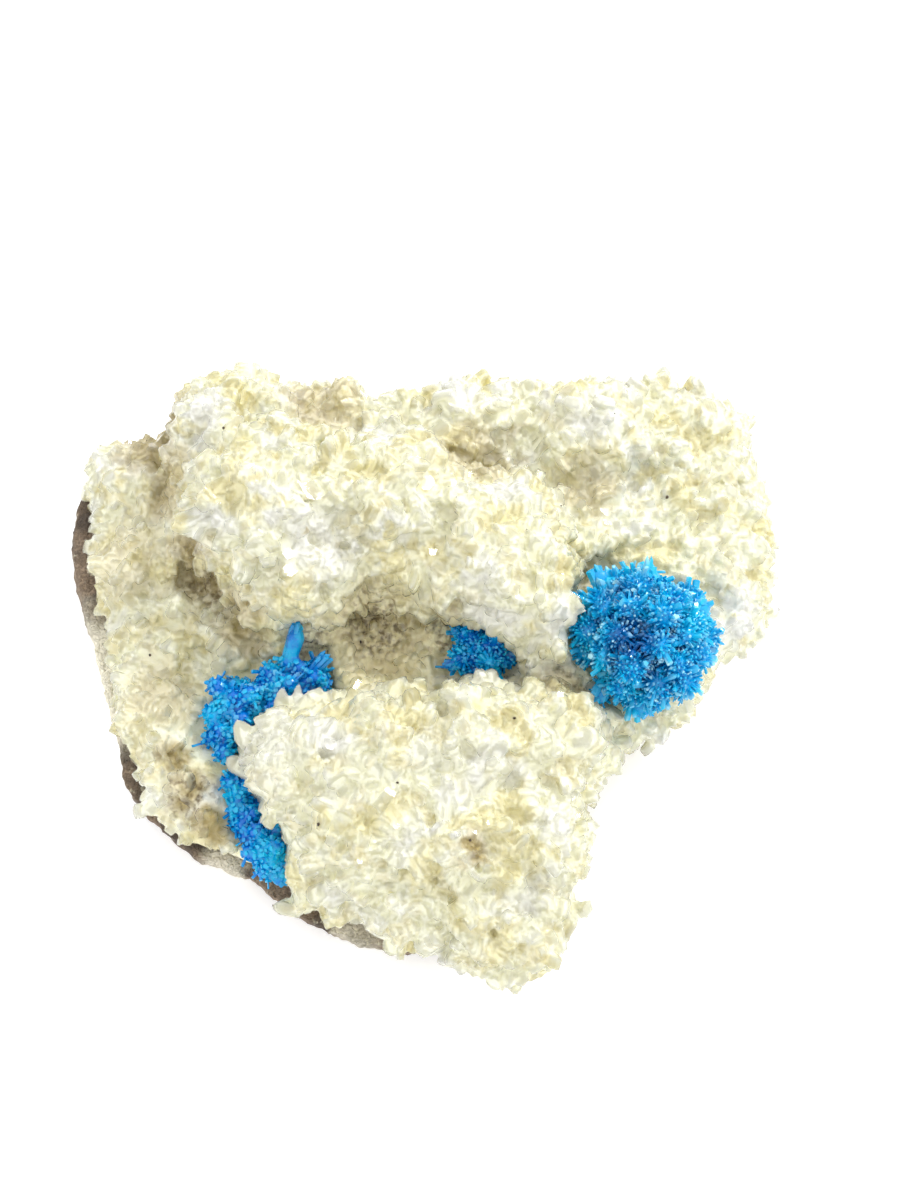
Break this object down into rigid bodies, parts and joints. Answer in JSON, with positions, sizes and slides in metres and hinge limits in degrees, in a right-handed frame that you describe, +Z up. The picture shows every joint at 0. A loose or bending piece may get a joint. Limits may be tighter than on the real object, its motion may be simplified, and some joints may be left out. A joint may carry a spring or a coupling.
{
  "type": "pentagonite mineral specimen",
  "caption": "Cabinet specimen of azure pentagonite crystal rosettes on a cream stilbite crust over basalt, with an open hollow between a ridge and a mound.",
  "frame": {"origin": "on the flat underside that the specimen rests on, near the middle of its outline", "axes": "+X to the right along the longest side, +Y away from the viewer towards the back rim, +Z up out of the resting face"},
  "size_m": [0.107, 0.0952, 0.0354],
  "materials": {
    "basalt": "broken fine-grained grey-brown basalt, matt",
    "stilbite": "translucent cream to pale yellow bladed crystals, pearly to glassy",
    "pentagonite": "deep azure radiating prisms with pale tips, glassy"
  },
  "bodies": {
    "root": {"basalt_matrix": "basalt", "stilbite_crust": "stilbite", "pentagonite_large_rosette": "pentagonite", "pentagonite_small_rosette": "pentagonite", "pentagonite_left_spray": "pentagonite", "pentagonite_flank_seam": "pentagonite"}
  },
  "joints": []
}
